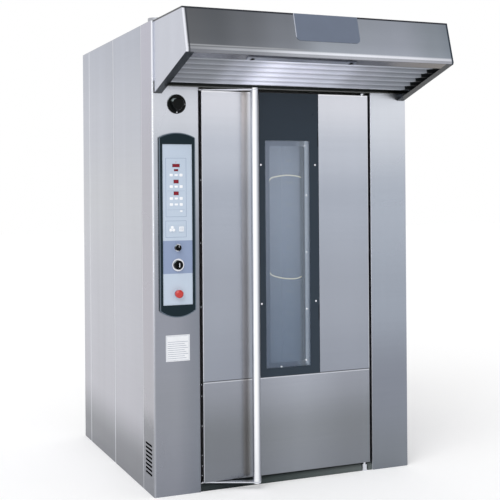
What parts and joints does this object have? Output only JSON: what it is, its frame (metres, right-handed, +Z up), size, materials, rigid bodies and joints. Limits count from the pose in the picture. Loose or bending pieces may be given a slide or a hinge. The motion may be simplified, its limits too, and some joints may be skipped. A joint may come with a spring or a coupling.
{
  "type": "rotating rack oven",
  "caption": "Floor-standing bakery oven with a flush glazed door, full-height bar handle, control column, ceiling rack hook and a canopy hood over the doorway.",
  "frame": {"origin": "on the floor, at the centre of the cabinet's footprint without the hood", "axes": "+X to the right as one faces the door, +Y from the door to the back, +Z up"},
  "size_m": [1.44, 1.901, 2.4],
  "materials": {
    "cabinet_steel": "satin",
    "liner_steel": "satin",
    "hood_steel": "satin",
    "door_steel": "satin",
    "kick_steel": "satin",
    "core_lining": "satin",
    "sill_steel": "matte",
    "base_block": "matte",
    "mineral_wool": "matte",
    "gasket_cord": "matte",
    "deck_zinc": "satin",
    "rod_steel": "matte",
    "duct_steel": "satin",
    "copper_pipe": "satin",
    "lamp_glass": "gloss",
    "motor_paint": "satin",
    "black_plastic": "satin",
    "filter_steel": "satin",
    "lamp_cover": "satin",
    "badge_plate": "satin",
    "panel_frame": "satin",
    "key_foil": "satin",
    "display_red": "gloss",
    "chrome": "polished",
    "switch_gear": "matte",
    "label_white": "satin",
    "window_black": "gloss",
    "door_glass": "gloss",
    "bead_steel": "satin",
    "key_white": "satin",
    "handle_steel": "polished",
    "stop_red": "gloss",
    "shaft_steel": "satin"
  },
  "bodies": {
    "cabinet": {"base_pan": "base_block", "door_sill": "sill_steel", "left_column": "cabinet_steel", "right_column": "cabinet_steel", "lintel_panel": "cabinet_steel", "left_side_panels": "cabinet_steel", "right_side_panels": "cabinet_steel", "rear_posts": "cabinet_steel", "rear_panel": "cabinet_steel", "roof_panel": "cabinet_steel", "chamber_floor": "liner_steel", "chamber_side_walls": "liner_steel", "chamber_rear_wall": "liner_steel", "chamber_ceiling": "liner_steel", "door_frame": "liner_steel", "insulation": "mineral_wool", "motor_deck": "deck_zinc", "heating_rods": "rod_steel", "steam_cascade": "rod_steel", "water_pipe": "copper_pipe", "exhaust_duct": "duct_steel", "chamber_lamp": "lamp_glass", "rack_gearmotor": "motor_paint", "fan_motor": "motor_paint", "cable_gland": "black_plastic", "hood_shell": "hood_steel", "hood_filter": "filter_steel", "hood_lamp": "lamp_cover", "hood_badge": "badge_plate", "hood_collar": "duct_steel", "control_frame": "panel_frame", "control_foil": "key_foil", "display_windows": "display_red", "switch_bezels": "chrome", "switch_plate": "switch_gear", "data_plate": "label_white", "latch_strikers": "shaft_steel", "hinge_pins": "chrome"},
    "door": {"door_core": "core_lining", "door_gasket": "gasket_cord", "door_left_panel": "door_steel", "door_right_panel": "door_steel", "door_kick_panel": "kick_steel", "window_frame": "window_black", "window_panes": "door_glass", "window_bead": "bead_steel", "window_screws": "chrome"},
    "door_handle": {"handle_tube": "handle_steel", "handle_arms": "handle_steel", "latch_shaft": "shaft_steel"},
    "damper": {"damper_knob": "black_plastic", "damper_flap": "shaft_steel"},
    "rack_carrier": {"rack_shaft": "shaft_steel", "rack_hook": "shaft_steel"},
    "circulation_fan": {"fan_wheel": "shaft_steel"},
    "left_push_key": {"push_key_left": "key_white"},
    "right_push_key": {"push_key_right": "key_white"},
    "timer": {"timer_knob": "black_plastic"},
    "selector": {"key_selector": "black_plastic"},
    "emergency_stop": {"emergency_button": "stop_red"}
  },
  "joints": [
    {"name": "door_hinge", "type": "hinge", "parent": "cabinet", "child": "door", "pos_m": [0.457, -0.685, 1.02], "axis": [0, 0, 1], "range_deg": [0, 120]},
    {"name": "handle_turn", "type": "hinge", "parent": "door", "child": "door_handle", "pos_m": [-0.44, -0.67, 1.02], "axis": [0, 0, -1], "range_deg": [0, 45]},
    {"name": "damper_turn", "type": "hinge", "parent": "cabinet", "child": "damper", "pos_m": [-0.595, -0.7, 1.932], "axis": [0, 1, 0], "range_deg": [0, 90]},
    {"name": "rack_turn", "type": "hinge", "parent": "cabinet", "child": "rack_carrier", "pos_m": [0.0115, -0.046, 1.9], "axis": [0, 0, 1], "continuous": true},
    {"name": "fan_spin", "type": "hinge", "parent": "cabinet", "child": "circulation_fan", "pos_m": [0.0115, 0.21008, 2], "axis": [0, 0, 1], "continuous": true},
    {"name": "left_key_press", "type": "slide", "parent": "cabinet", "child": "left_push_key", "axis": [0, 1, 0], "range_m": [0, 0.0012], "stiffness_N_per_m": 400},
    {"name": "right_key_press", "type": "slide", "parent": "cabinet", "child": "right_push_key", "axis": [0, 1, 0], "range_m": [0, 0.0012], "stiffness_N_per_m": 400},
    {"name": "timer_turn", "type": "hinge", "parent": "cabinet", "child": "timer", "pos_m": [-0.595, -0.7, 1.223], "axis": [0, 1, 0], "range_deg": [0, 270]},
    {"name": "selector_turn", "type": "hinge", "parent": "cabinet", "child": "selector", "pos_m": [-0.595, -0.7, 1.138], "axis": [0, 1, 0], "range_deg": [0, 90]},
    {"name": "emergency_press", "type": "slide", "parent": "cabinet", "child": "emergency_stop", "axis": [0, 1, 0], "range_m": [0, 0.005]}
  ]
}
